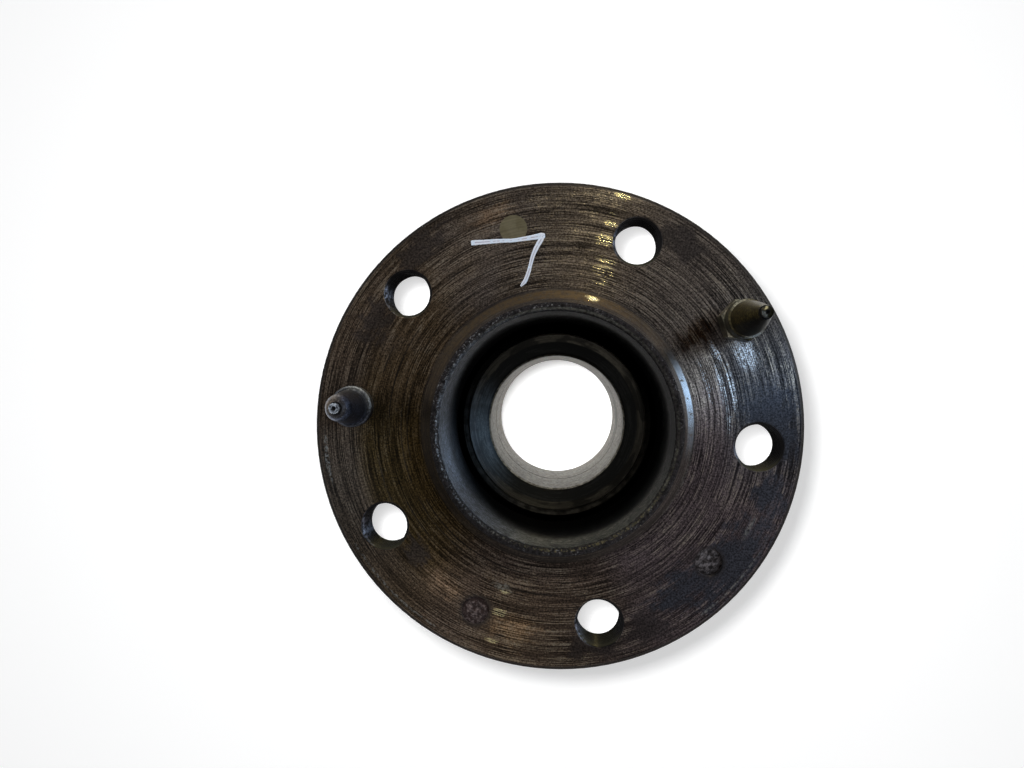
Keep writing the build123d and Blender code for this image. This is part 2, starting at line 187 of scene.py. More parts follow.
STUB_BROWN = (0.102, 0.087, 0.05)
SCREW_BROWN = (0.09, 0.07, 0.06)
SCREW_DARK = (0.05, 0.035, 0.03)
TEAR_RED = (0.024, 0.014, 0.013)
TEAR_ROSE = (0.15, 0.115, 0.11)
TEAR_GREY = (0.13, 0.114, 0.118)
TEAR_BLACK = (0.018, 0.015, 0.015)
NYLON = (0.52, 0.47, 0.37)
NYLON_SHADE = (0.44, 0.38, 0.28)
CASE_GREY = (0.36, 0.36, 0.35)
CASE_DULL = (0.28, 0.27, 0.25)
PEN_BLUE = (0.51, 0.6, 0.72)
PEN_WHITE = (0.58, 0.61, 0.69)
PEN_THIN = (0.22, 0.21, 0.27)
BACK_GREY = (0.085, 0.07, 0.06)
RUST = (0.16, 0.062, 0.028)

# Patches on the face: azimuth, radius, reach across the lines, reach along them.
BLUE_STAINS = ((3, 51.5, 7, 7), (-4, 56, 2.5, 6), (-19, 54, 5, 7), (-38, 54, 7, 16), (-52, 50, 5, 8))
DARK_STAINS = (
    (55, 54, 4.5, 7), (150, 51.5, 5, 6), (127, 55, 4, 8), (-66, 53.5, 4.5, 7),
    (222, 46, 3, 5), (247, 49.6, 3.6, 4), (-80, 54, 4, 7),
)
TAN_STAINS = ((107, 54.2, 2.6, 6), (234, 48, 2.8, 5), (258, 51.5, 4, 6))
# Painted shade of the long pin on the face.
PIN_SHADE = ((33, 41.2, 6.5, 2.8),)
# Painted highlights, as patches in the same form: glints on the spigot's root and on the face.
ROOT_GLINT = ((74.5, 32.3, 0.6, 1.8),)
BLUE_GLINTS = (
    (21, 48.8, 3, 4.2), (25, 42.3, 1, 3), (13, 41.2, 1, 6),
    (4, 41.5, 0.8, 5), (17, 37.9, 0.9, 5), (12, 43.4, 0.9, 6),
)
GOLD_GLINTS = (
    (73.9, 58.3, 0.8, 2), (75.2, 53.3, 0.5, 1.2), (75, 50.9, 0.8, 1.6), (75.3, 46.6, 1.5, 2.3),
    (73.2, 42.2, 0.9, 2.4), (72.8, 39.4, 1.4, 2.8), (72.8, 36.8, 0.8, 2),
    (253, 47.8, 1, 1.7), (253.2, 55, 0.5, 1.6), (252.6, 42.4, 0.6, 1.2),
)
# Bright arcs: rubbed arcs, with painted highlights at (252, 41.7), a glint, and at (-24, 33.2), a line on
# the spigot's root.
PALE_ARCS = (
    (186.5, 57.3, 0.5, 6.5), (226, 57.6, 0.35, 17), (-28, 52.4, 0.7, 4),
    (-42, 57.4, 0.3, 14), (252, 41.7, 1.2, 2.2), (-24, 33.2, 0.4, 13),
)

# Tints of the face's sides: azimuth, reach in degrees, where the tint starts, colour.
FACE_TINTS = (
    (50, 125, 0, GREY_BROWN), (-52, 95, 0, VIOLET_BROWN),
    (-98, 55, 0.1, TAN_BROWN), (200, 58, 0.1, DARK_SIDE_BROWN),
)

# Lighter and darker sectors of the face: azimuth, reach in degrees, low and high radius, gain.
TONE_SECTORS = (
    (285, 30, 35, 41, 1.65), (195, 40, 32, 41, 1.35), (116, 24, 35, 57, 1.35), (288, 13, 50, 57, 0.72),
    (157, 28, 51, 60, 1.45), (233, 26, 40, 60, 1.6), (203, 18, 51, 60, 0.7), (270, 26, 51, 60, 0.72),
    (338, 20, 51, 60, 1.3), (83, 30, 40, 60, 0.78), (28, 18, 50, 60, 0.62), (15, 16, 40, 49, 0.75),
)

# Deeper turned lines of the face: radius and half width.
DEEP_LINES = ((44.6, 0.35), (41.3, 0.3), (38.3, 0.3), (36.8, 0.25))


# Added to an angle to keep it above nothing.
TWO_TURNS = 720


def socket_name(name):
    return name.replace("_", " ").capitalize()


class Drawing:
    """A node tree being drawn: adds nodes and joins them up."""

    def __init__(self, tree):
        self.tree = tree

    def join(self, value, socket):
        """Feed a socket from another socket, or set its plain value."""
        if isinstance(value, bpy.types.NodeSocket):
            self.tree.links.new(value, socket)
        elif socket.type == "RGBA":
            socket.default_value = (*value, 1)
        else:
            socket.default_value = value

    def node(self, kind, inputs=(), **settings):
        made = self.tree.nodes.new("ShaderNode" + kind)
        for name, value in settings.items():
            setattr(made, name, value)
        for name, value in dict(inputs).items():
            self.join(value, made.inputs[name])
        return made

    def maths(self, operation, *values):
        return self.node("Math", enumerate(values), operation=operation).outputs[0]

    def times(self, first, *others):
        """Product of two or more numbers."""
        for other in others:
            first = self.maths("MULTIPLY", first, other)
        return first

    def plus(self, first, second):
        return self.maths("ADD", first, second)

    def minus(self, first, second):
        return self.maths("SUBTRACT", first, second)

    def vector(self, operation, *values):
        return self.node("VectorMath", enumerate(values), operation=operation).outputs[0]

    def number(self, operation, *values):
        """A number worked out from vectors."""
        return self.node("VectorMath", enumerate(values), operation=operation).outputs["Value"]

    def combine(self, x, y, z):
        return self.node("CombineXYZ", {"X": x, "Y": y, "Z": z}).outputs[0]

    def smooth(self, value, low, high, at_low=0, at_high=1):
        """Smooth step from at_low to at_high as value goes from low, maybe the greater, to high."""
        feeds = {"Value": value, "From Min": low, "From Max": high, "To Min": at_low, "To Max": at_high}
        return self.node("MapRange", feeds, interpolation_type="SMOOTHSTEP").outputs[0]

    def mix(self, mask, below, above):
        """Lay one colour over another where the mask says."""
        return self.node("Mix", {0: mask, 6: below, 7: above}, data_type="RGBA").outputs[2]

    def level(self, mask, below, above):
        """A number that goes from below to above with the mask."""
        return self.node("Mix", {0: mask, 2: below, 3: above}, data_type="FLOAT").outputs[0]

    def scaled(self, colour, factor, mask=None):
        """A colour times a number, all over or where the mask says."""
        if mask is not None:
            factor = self.level(mask, 1, factor)
        return self.node("VectorMath", {0: colour, "Scale": factor}, operation="SCALE").outputs[0]

    def stand(self, axis=ORIGIN):
        """Measure from an upright axis: radius and height in millimetres, and azimuth."""
        spot = self.use(axle_place, axis=axis)
        self.radius, self.height, self.azimuth = spot["Radius"], spot["Height"], spot["Azimuth"]

    def use(self, group, **values):
        """Place a shader group; its inputs are named in lower case with underscores."""
        made = self.node("Group", node_tree=group)
        for name, value in values.items():
            self.join(value, made.inputs[socket_name(name)])
        return made.outputs


def shader_group(numbers, vectors="", **inputs):
    """Make a drawing function into a shader group, from its outputs by kind and its inputs."""

    def build(draw):
        tree = bpy.data.node_groups.new(draw.__name__.replace("_", " "), "ShaderNodeTree")
        for name, default in inputs.items():
            kind = "NodeSocketFloat" if isinstance(default, float) else "NodeSocketVector"
            made = tree.interface.new_socket(socket_name(name), in_out="INPUT", socket_type=kind)
            made.default_value = default
        for names, kind in ((numbers, "NodeSocketFloat"), (vectors, "NodeSocketVector")):
            for name in names.split():
                tree.interface.new_socket(name, in_out="OUTPUT", socket_type=kind)
        start = tree.nodes.new("NodeGroupInput")
        end = tree.nodes.new("NodeGroupOutput")
        drawing = Drawing(tree)
        for name, value in draw(drawing, start.outputs).items():
            drawing.join(value, end.inputs[name])
        return tree

    return build


@shader_group("Radius Height Azimuth", "Round Place", axis=ORIGIN)
def axle_place(d, given):
    """Radius, height and direction round an upright axis, in millimetres."""
    place = d.scaled(d.node("TexCoord").outputs["Object"], 1 / MM)
    parts = d.node("SeparateXYZ", {0: d.vector("SUBTRACT", place, given["Axis"])}).outputs
    flat = d.combine(parts["X"], parts["Y"], 0)
    azimuth = d.times(d.maths("ARCTAN2", parts["Y"], parts["X"]), 180 / math.pi)
    return {
        "Radius": d.number("LENGTH", flat),
        "Height": parts["Z"],
        "Azimuth": azimuth,
        "Round": d.vector("NORMALIZE", flat),
        "Place": place,
    }


@shader_group("Relief", axis=ORIGIN, spacing=0.5, sweep=2.0, seed=0.0)
def turning_lines(d, given):
    """Relief of tool marks that run round an axis, from nothing to one."""
    spot = d.use(axle_place, axis=given["Axis"])
    run = d.minus(spot["Radius"], spot["Height"])
    step = d.plus(d.maths("DIVIDE", run, given["Spacing"]), given["Seed"])
    swept = d.vector("MULTIPLY", spot["Round"], d.combine(given["Sweep"], given["Sweep"], 0))
    where = d.vector("ADD", swept, d.combine(0, 0, step))
    marks = d.node("TexNoise", {"Vector": where, "Scale": 1, "Detail": 2, "Roughness": 0.65})
    return {"Relief": d.smooth(marks.outputs[0], 0.34, 0.66)}


@shader_group("Mask Cloud", size=8.0, cover=0.5, softness=0.08, seed=0.0)
def blotches(d, given):
    """Cloudy patches of a given size; Cover is the share of the surface that they take."""
    spot = d.use(axle_place)
    shifted = d.vector("ADD", spot["Place"], d.combine(given["Seed"], given["Seed"], given["Seed"]))
    scale = d.maths("DIVIDE", 1, given["Size"])
    cloud = d.node("TexNoise", {"Vector": shifted, "Scale": scale, "Detail": 4, "Roughness": 0.6})
    middle = d.minus(0.75, d.times(given["Cover"], 0.5))
    low = d.minus(middle, given["Softness"])
    high = d.plus(middle, given["Softness"])
    return {"Mask": d.smooth(cloud.outputs[0], low, high), "Cloud": cloud.outputs[0]}


@shader_group("Mask", size=0.9, share=0.3)
def pits(d, given):
    """Small round pits and specks."""
    spot = d.use(axle_place)
    scale = d.maths("DIVIDE", 1, given["Size"])
    cells = d.node("TexVoronoi", {"Vector": spot["Place"], "Scale": scale}).outputs
    here = d.smooth(cells["Distance"], 0.32, 0.1)
    chosen = d.node("SeparateColor", {0: cells["Color"]}).outputs[0]
    kept = d.maths("LESS_THAN", chosen, given["Share"])
    return {"Mask": d.times(here, kept)}


@shader_group("Mask", value=0.0, low=0.0, high=1.0, softness=0.1)
def band(d, given):
    """One between two values and nothing outside them, with soft ends."""
    rise_end = d.plus(given["Low"], given["Softness"])
    fall_start = d.minus(given["High"], given["Softness"])
    rise = d.smooth(given["Value"], given["Low"], rise_end)
    fall = d.smooth(given["Value"], given["High"], fall_start)
    return {"Mask": d.times(rise, fall)}


@shader_group("Tone Relief Broken", axis=ORIGIN, spacing=0.4, sweep=2.0, seed=0.0)
def turned_tone(d, given):
    """Lightness of turned lines, from nothing in a groove to one on a crest, broken into dashes."""

    def marks(spread, stretch, shift):
        spacing = d.times(given["Spacing"], spread)
        sweep = d.times(given["Sweep"], stretch)
        seed = d.plus(given["Seed"], shift)
        return d.use(turning_lines, axis=given["Axis"], spacing=spacing, sweep=sweep, seed=seed)["Relief"]

    fine, dashes, grain = marks(1, 1, 0), marks(0.9, 8, 9), marks(0.9, 45, 5)
    middle, broad = marks(2.2, 0.7, 17), marks(8, 1, 31)
    cut = d.level(0.28, fine, dashes)
    cut = d.level(0.22, cut, grain)
    tone = d.level(0.14, cut, middle)
    tone = d.level(0.18, tone, broad)
    return {"Tone": d.smooth(tone, 0.24, 0.76), "Relief": d.level(0.25, cut, middle), "Broken": broad}


@shader_group("Mask", azimuth=0.0, centre=0.0, width=90.0)
def lobe(d, given):
    """One in the direction Centre and nothing from Width degrees away from it."""
    turn = d.maths("RADIANS", d.minus(given["Azimuth"], given["Centre"]))
    away = d.maths("DEGREES", d.maths("ARCCOSINE", d.maths("COSINE", turn)))
    return {"Mask": d.smooth(away, given["Width"], 0)}


@shader_group(
    "Mask", azimuth=0.0, radius=0.0, fray=0.5,
    centre_azimuth=0.0, centre_radius=45.0, across=4.0, along=8.0,
)
def stain(d, given):
    """A frayed oval patch that lies along the turned lines."""
    turn = d.maths("RADIANS", d.minus(given["Azimuth"], given["Centre azimuth"]))
    turn = d.maths("ARCCOSINE", d.maths("COSINE", turn))
    along = d.maths("DIVIDE", d.times(turn, given["Centre radius"]), given["Along"])
    offset = d.minus(given["Radius"], given["Centre radius"])
    across = d.maths("DIVIDE", offset, given["Across"])
    away = d.number("LENGTH", d.combine(along, across, 0))
    frayed = d.plus(away, d.times(d.minus(given["Fray"], 0.5), 2.2))
    return {"Mask": d.smooth(frayed, 1.25, 0.35)}


@shader_group("Distance", axis=ORIGIN, circle=BOLT_CIRCLE_R, first=BOLT_ANGLE)
def nearest_hole(d, given):
    """Distance to the nearest axis of a ring of holes."""
    spot = d.use(axle_place, axis=given["Axis"])
    turned = d.plus(d.minus(spot["Azimuth"], given["First"]), TWO_TURNS + BOLT_STEP / 2)
    local = d.minus(d.maths("MODULO", turned, BOLT_STEP), BOLT_STEP / 2)
    angle = d.maths("RADIANS", local)
    inwards = d.times(spot["Radius"], d.maths("COSINE", angle))
    along = d.minus(inwards, given["Circle"])
    across = d.times(spot["Radius"], d.maths("SINE", angle))
    return {"Distance": d.number("LENGTH", d.combine(along, across, 0))}


def towards(d, centre, width):
    """Mask that is one in a direction round the axle and gone at width degrees from it."""
    return d.use(lobe, azimuth=d.azimuth, centre=centre, width=width)["Mask"]


def between(d, value, low, high, softness):
    """Mask that is one between two values, with soft ends."""
    return d.use(band, value=value, low=low, high=high, softness=softness)["Mask"]


def clouds(d, size, seed=0.0):
    """Cloudy noise whose patches are about size millimetres."""
    return d.use(blotches, size=size, seed=seed)["Cloud"]


def stains(d, fray, patches):
    """Mask of several frayed patches, each (azimuth, radius, reach across, reach along)."""
    mask = None
    for azimuth, radius, across, along in patches:
        feeds = {"centre_azimuth": azimuth, "centre_radius": radius, "across": across, "along": along}
        patch = d.use(stain, azimuth=d.azimuth, radius=d.radius, fray=fray, **feeds)["Mask"]
        mask = patch if mask is None else d.maths("MAXIMUM", mask, patch)
    return mask


def new_finish(name):
    """A material with an empty tree, and a drawing of that tree."""
    material = bpy.data.materials.new(name)
    material.use_nodes = True
    material.node_tree.nodes.clear()
    return material, Drawing(material.node_tree)


def close_finish(d, surface, kind="Material"):
    output = d.node("Output" + kind)
    d.join(surface.outputs[0], output.inputs["Surface"])


def relief(d, height, depth, below=None):
    """Bump normal of a height that is depth millimetres deep."""
    feeds = {"Height": height, "Distance": depth * MM, "Strength": 1}
    if below:
        feeds["Normal"] = below
    return d.node("Bump", feeds).outputs[0]


class Coat:
    """A finish being built up: each layer covers what is below it where its mask says."""

    def __init__(self, drawing, colour, metal, rough):
        self.drawing = drawing
        self.colour = colour
        self.metal = metal
        self.rough = rough

    def lay(self, mask, colour=None, metal=None, rough=None):
        if colour is not None:
            self.colour = self.drawing.mix(mask, self.colour, colour)
        if metal is not None:
            self.metal = self.drawing.level(mask, self.metal, metal)
        if rough is not None:
            self.rough = self.drawing.level(mask, self.rough, rough)

    def shade(self, factor, mask=None):
        """Lighten or darken the colour by a factor, all over or where the mask says."""
        self.colour = self.drawing.scaled(self.colour, factor, mask)

    def close(self, normal, brushed=0):
        """Put the coat on a surface; brushed is how far gloss is drawn out across turned lines."""
        feeds = {"Base Color": self.colour, "Metallic": self.metal, "Roughness": self.rough}
        feeds["Normal"] = normal
        if brushed:
            tangent = self.drawing.node("Tangent", direction_type="RADIAL", axis="Z").outputs[0]
            feeds |= {"Anisotropic": brushed, "Anisotropic Rotation": 0.25, "Tangent": tangent}
        close_finish(self.drawing, self.drawing.node("BsdfPrincipled", feeds))


def turned_hub_iron():
    """The hub: turned all over, browned by heat and oil, worn where the wheel and disc sat, with painted
    highlights, reflections and shade in places.
    """
    material, d = new_finish("turned hub iron")
    d.stand()
    streaks = d.use(turning_lines, spacing=0.8, sweep=9, seed=83)["Relief"]
    streaks = d.times(d.minus(streaks, 0.5), 0.22)
    fray = d.plus(clouds(d, 3, 41), streaks)
    cloud = clouds(d, 14, 5)
    turned = d.use(turned_tone, spacing=0.27, sweep=2.2, seed=3)
    coat = Coat(d, BROWN_OXIDE, 0.9, 0.46)
    brown_the_face(d, coat, cloud)
    smooth_share = stain_the_face(d, coat, fray)
    cut_the_lines(d, coat, turned, smooth_share)
    wear_and_highlight_arcs(d, coat, fray)
    tint_the_root(d, coat)
    wear_rim_and_holes(d, coat)
    crust = crust_spigot_top(d, coat, fray)
    grease_and_shade_the_recess(d, coat)
    rust_the_back(d, coat, fray)

    tooled = d.level(smooth_share, turned["Relief"], 0.5)
    normal = relief(d, tooled, 0.055)
    normal = relief(d, d.use(turning_lines, spacing=3.4, sweep=1.4, seed=29)["Relief"], 0.05, normal)
    normal = relief(d, crust, 0.16, normal)
    coat.close(normal, brushed=1)
    return material


def brown_the_face(d, coat, cloud):
    """Browner and darker on one side, greyer towards the other, a violet cast low on the right, and on the
    right a bluish painted reflection with a painted highlight on the inner lines.
    """
    wander = d.times(d.minus(cloud, 0.5), 0.9)
    for azimuth, reach, low, colour in FACE_TINTS:
        coat.lay(d.smooth(d.plus(towards(d, azimuth, reach), wander), low, 0.8), colour)
    coat.lay(d.times(d.smooth(d.radius, 46, 52), towards(d, 185, 95), 0.85), OUTER_SIDE_BROWN)
    # Painted reflection of the window on the right: bluish, and lighter on the inner lines.
    right = towards(d, 6, 34)
    coat.lay(d.times(right, d.smooth(d.radius, 38, 46, 0.1, 1)), BLUE_GREY)
    coat.shade(1.5, d.times(right, d.smooth(d.radius, 43, 40)))
    coat.shade(d.smooth(d.radius, 49, 54, 1, 0.94))


def stain_the_face(d, coat, fray):
    """Blue-black, brown-black and tan patches, painted shade beside the long pin, and lighter and darker
    sectors; gives back where the turned lines are burnished away.
    """
    blue, dark = stains(d, fray, BLUE_STAINS), stains(d, fray, DARK_STAINS)
    coat.lay(d.times(stains(d, fray, TAN_STAINS), 0.8), TAN_STEEL)
    coat.lay(d.times(dark, 0.6), DARK_OXIDE)
    coat.lay(d.times(blue, 0.85), BLUE_BLACK)
    # Painted shade beside the long pin.
    coat.lay(stains(d, fray, PIN_SHADE), SHADE_BROWN, rough=0.6)
    for azimuth, reach, low, high, gain in TONE_SECTORS:
        ring = between(d, d.radius, low, high, 3)
        coat.shade(gain, d.times(ring, towards(d, azimuth, reach)))
    return d.times(d.maths("MAXIMUM", blue, dark), 0.85)


def cut_the_lines(d, coat, turned, smooth_share):
    """Turned lines: dark grooves; crests burnished lighter and smoother where not gritty, fewer on the
    darker side; painted highlights as bluish and gold glints; and near-black deeper lines of grime and
    painted shade.
    """
    tone = d.level(smooth_share, turned["Tone"], 0.42)
    calm = d.smooth(clouds(d, 9, 55), 0.42, 0.6, 0, 0.4)
    tone = d.level(calm, tone, 0.46)
    coat.shade(d.level(tone, 0.18, 1.82))
    grit = clouds(d, 0.45, 77)
    coat.shade(d.smooth(grit, 0.3, 0.7, 0.35, 1.65))
    crest = d.times(d.smooth(tone, 0.66, 0.86), d.smooth(clouds(d, 2.6, 91), 0.36, 0.6, 0.25, 1))
    # Fewer bright crests on the darker side.
    off_dark_side = d.minus(1, d.times(towards(d, 200, 75), 0.8))
    crest = d.times(crest, d.smooth(grit, 0.38, 0.56, 0.3, 1), off_dark_side, 0.62)
    coat.lay(crest, WORN_STEEL, rough=0.12)
    # Painted highlights: bluish glints of the window and gold glints of the warm lamp.
    fine = clouds(d, 0.28, 15)
    crumbs = d.times(d.smooth(tone, 0.46, 0.6), d.smooth(fine, 0.45, 0.55))
    coat.lay(d.times(stains(d, grit, BLUE_GLINTS), crumbs), GLINT_BLUE, rough=0.3)
    gold = d.times(stains(d, grit, GOLD_GLINTS), d.smooth(turned["Tone"], 0.5, 0.62))
    coat.lay(gold, GLINT_GOLD, metal=1, rough=0.09)
    # Deeper lines: near black, with grime and painted shade.
    for radius, width in DEEP_LINES:
        line = between(d, d.radius, radius - width, radius + width, width)
        broken = d.smooth(turned["Broken"], 0.42, 0.62)
        coat.lay(d.times(line, broken, 0.75), GRIME_AND_SHADE_BLACK)


def wear_and_highlight_arcs(d, coat, fray):
    """Bright arcs where something rubbed the face, and painted highlights: a glint low on the face and a
    thin line on the spigot's root.
    """
    broken = clouds(d, 0.7, 33)
    arcs = d.times(stains(d, fray, PALE_ARCS), d.smooth(broken, 0.4, 0.62, 0, 0.45))
    coat.lay(arcs, PALE_STEEL, rough=0.3)


def tint_the_root(d, coat):
    """Root of the spigot: smooth and dark, with painted shade towards the lower left; a painted warm
    reflection in tan and a painted gold glint at the top, a painted blue highlight on the right, and a
    thin line round it.
    """
    radius, low_down = d.radius, d.smooth(d.height, 6.4, 4.8)
    root = between(d, radius, SPIGOT_R - 0.1, ROOT_R + 0.3, 0.4)
    # Painted shade: the root darker towards the lower left.
    shady = d.scaled(ROOT_DARK, 0.3, towards(d, 225, 80))
    coat.lay(d.times(root, low_down, 0.75), shady, rough=0.36)
    outer = between(d, radius, SPIGOT_R + 1.9, ROOT_R + 0.1, 0.5)
    mottle = clouds(d, 0.9, 23)
    # Painted warm reflection in tan at the top, and a painted gold glint.
    tan = d.times(outer, towards(d, 100, 95), d.smooth(mottle, 0.32, 0.62, 0.3, 1))
    coat.lay(tan, ROOT_TAN, rough=0.34)
    coat.lay(stains(d, mottle, ROOT_GLINT), GLINT_GOLD, metal=1, rough=0.15)
    # Painted highlight of the window, bluish, on the right.
    narrow = between(d, radius, SPIGOT_R + 2.5, ROOT_R + 0.1, 0.4)
    blue_highlight_mask = d.times(narrow, towards(d, 11, 28), d.smooth(clouds(d, 1.4, 19), 0.3, 0.46))
    coat.lay(blue_highlight_mask, BLUE_HIGHLIGHT, rough=0.22)
    rim_line = between(d, radius, ROOT_R - 0.1, ROOT_R + 0.7, 0.35)
    coat.lay(d.times(rim_line, towards(d, 90, 150), 0.8), DARK_OXIDE)


def crust_spigot_top(d, coat, fray):
    """Top of the spigot: black crust with pale specks, darker on one side, and a flaked edge round the
    recess with painted highlights on it: bluish and pale on one side, olive at the top and on the right,
    yellow low down.
    """
    radius, height = d.radius, d.height
    speck = d.smooth(clouds(d, 0.4, 63), 0.57, 0.66)
    wall = d.times(d.smooth(height, 2.4, 5), d.smooth(radius, RECESS_R + 0.4, RECESS_R + 0.5))
    coat.lay(wall, CRUST, metal=0.6, rough=0.6)
    top = d.smooth(height, LAND_LEVEL - 1.6, LAND_LEVEL - 0.9)
    coat.lay(top, CRUST, metal=0.75, rough=0.6)
    rough_side = d.level(towards(d, 140, 110), d.smooth(fray, 0.4, 0.56, 0, 0.5), 1)
    outside = d.smooth(radius, RECESS_R + 0.1, RECESS_R + 0.3)
    dull_side = towards(d, 215, 80)
    scattered = d.times(d.smooth(height, 5, 8), speck, rough_side, d.level(dull_side, 1, 0.5), outside)
    coat.lay(scattered, CRUST_SPECK, rough=0.4)
    worn = d.smooth(fray, 0.36, 0.6, 0.2, 0.8)
    # Painted highlights on the recess's edge: bluish on one side, olive at the top and on the right.
    bluish = between(d, radius, RECESS_R - 0.2, RECESS_R + 0.8, 0.3)
    coat.lay(d.times(bluish, top, towards(d, 150, 80), worn), EDGE_BLUE, rough=0.5)
    edge = d.times(between(d, radius, RECESS_R + 0.2, RECESS_R + 1, 0.3), top)
    coat.lay(d.times(edge, towards(d, 80, 75), 0.7), OLIVE_GREY, rough=0.4)
    coat.lay(d.times(edge, towards(d, -20, 60), worn), OLIVE_GREY, rough=0.5)
    # Flakes of the edge, painted as highlights: pale on one side and yellow low down.
    flaky = d.times(edge, d.smooth(clouds(d, 0.6, 61), 0.48, 0.6))
    coat.lay(d.times(flaky, towards(d, 195, 75), 0.7), PALE_FLAKE_HIGHLIGHT, rough=0.35)
    coat.lay(d.times(flaky, towards(d, 285, 80), 0.7), YELLOW_FLAKE_HIGHLIGHT)
    lumps = d.smooth(clouds(d, 0.8, 17), 0.36, 0.64)
    coat.shade(d.level(lumps, 0.5, 1.6), d.times(top, outside))
    coat.shade(0.6, d.times(top, dull_side))
    return d.times(lumps, top)


def grease_and_shade_the_recess(d, coat):
    """Recess wall: dark, with painted light bluish on one side and olive low down; painted shade darker
    with depth and black at the mouth on one side, over a lighter band; grease smears; black with grease
    and painted shade lower down.
    """
    height = d.height
    inside = d.smooth(d.radius, RECESS_R + 0.25, RECESS_R - 0.02)
    inside = d.times(inside, d.smooth(height, LAND_LEVEL - 0.6, LAND_LEVEL - 0.9))
    # Painted light: the wall bluish on one side and olive low down, dark elsewhere.
    wall = d.mix(towards(d, 205, 110), WALL_DARK, WALL_BLUE)
    wall = d.mix(towards(d, 285, 75), wall, WALL_OLIVE)
    streak = d.smooth(clouds(d, 0.45, 71), 0.3, 0.7, 0.35, 1.65)
    # Painted shade: darker with depth, and near the mouth on the bluish side.
    depth = d.smooth(height, -8, 7, 0.25, 1)
    shy_side = d.smooth(towards(d, 45, 110), 0.28, 0.6)
    shy_mouth = d.times(d.smooth(height, 2.5, 6.5), shy_side)
    lower_side = d.times(d.smooth(height, -2, 6.5, 0.2, 1.35), d.smooth(height, 7.5, 11, 1, 0.5))
    depth = d.times(depth, d.level(towards(d, 300, 85), 1, lower_side))
    blue_mouth = d.times(d.smooth(height, 2, 9), towards(d, 200, 60))
    depth = d.times(depth, d.level(blue_mouth, 1, 0.55))
    patchy = d.smooth(clouds(d, 1.6, 73), 0.36, 0.64, 0.5, 1.4)
    wall = d.scaled(wall, d.times(streak, depth, patchy))
    coat.lay(inside, wall, metal=0.6, rough=0.45)
    # Painted shade: black at the mouth on the dark side, with a lighter band below it.
    coat.lay(d.times(inside, shy_mouth), GREASE_AND_SHADE_BLACK, metal=1, rough=0.4)
    smears = d.smooth(clouds(d, 1.1, 75), 0.44, 0.62, 0, 0.75)
    coat.lay(d.times(inside, smears), GREASE_AND_SHADE_BLACK, metal=1)
    coat.shade(1.6, d.times(inside, between(d, height, -4, 5, 3), shy_side))
    # Black with grease and painted shade lower down, starting higher away from the bluish side.
    blue_wall = towards(d, 195, 75)
    greasy_shade = d.smooth(height, d.level(blue_wall, 5, -4), d.level(blue_wall, -3.5, -24))
    coat.lay(d.times(inside, greasy_shade), GREASE_AND_SHADE_BLACK, metal=1, rough=0.75)


def wear_rim_and_holes(d, coat):
    """Rim and its edge, the mouths of the holes, and their walls in painted light and shade."""
    radius, height = d.radius, d.height
    coat.lay(d.smooth(radius, FLANGE_R - 1.1, FLANGE_R - 0.7, 0, 0.85), RIM_DARK, rough=0.55)
    bolt_gap = d.use(nearest_hole)["Distance"]
    mouth = between(d, bolt_gap, BOLT_HOLE_R - 0.1, BOLT_HOLE_R + 1.3, 0.4)
    below_face = d.smooth(height, -0.05, -0.15)
    coat.lay(d.times(mouth, below_face), MOUTH_STEEL, rough=0.38)
    # Painted light and shade in the bolt holes: near black walls, olive low down, bluish light streaks on
    # the left.
    in_hole = d.times(d.smooth(bolt_gap, 6.05, 6), d.smooth(height, -0.35, -0.6))
    low_side = d.smooth(d.use(nearest_hole, axis=(0, 3, 0))["Distance"], 7, 9)
    left_side = d.smooth(d.use(nearest_hole, axis=(3, 0.6, 0))["Distance"], 8, 8.9)
    left_side = d.times(left_side, d.smooth(clouds(d, 0.9), 0.42, 0.6))
    wall = d.mix(left_side, d.mix(low_side, HOLE_WALL, HOLE_OLIVE), HOLE_LIGHT_STREAK)
    coat.lay(in_hole, wall, metal=0.8, rough=0.42)
    small_gap = d.use(nearest_hole, circle=SMALL_CIRCLE_R, first=SMALL_ANGLE)["Distance"]
    ring_dirt = d.smooth(small_gap, SMALL_HOLE_R + 0.1, SMALL_HOLE_R + 1.1, 0.6, 0)
    not_top = d.smooth(towards(d, SMALL_ANGLE + BOLT_STEP, 20), 0, 0.3, 1, 0.15)
    coat.lay(d.times(ring_dirt, not_top), DARK_OXIDE)


def rust_the_back(d, coat, fray):
    """Back of the flange and the barrel: dull grey oxide with rust blooms."""
    behind = d.smooth(d.height, BACK_LEVEL + 1.2, BACK_LEVEL - 0.2)
    bloom = d.smooth(fray, 0.5, 0.66, 0, 0.8)
    outside = d.times(behind, d.smooth(d.radius, 36.5, 37), 0.75)
    coat.lay(outside, d.mix(bloom, BACK_GREY, RUST), metal=0.6)


def ground_bearing_steel():
    """Bearing rings: ground faces, stained outside and pale in the bore."""
    material, d = new_finish("ground bearing steel")
    d.stand()
    turned = d.use(turned_tone, spacing=0.4, sweep=2.5, seed=7)
    fray = clouds(d, 3, 13)
    coat = Coat(d, GROUND_STEEL, 0.9, 0.34)
    coat.shade(d.level(turned["Tone"], 0.85, 1.15))
    stain_ring_face(d, coat, turned, fray)
    whiten_the_bore(d, coat, fray)
    coat.close(relief(d, turned["Relief"], 0.012), brushed=0.6)
    return material


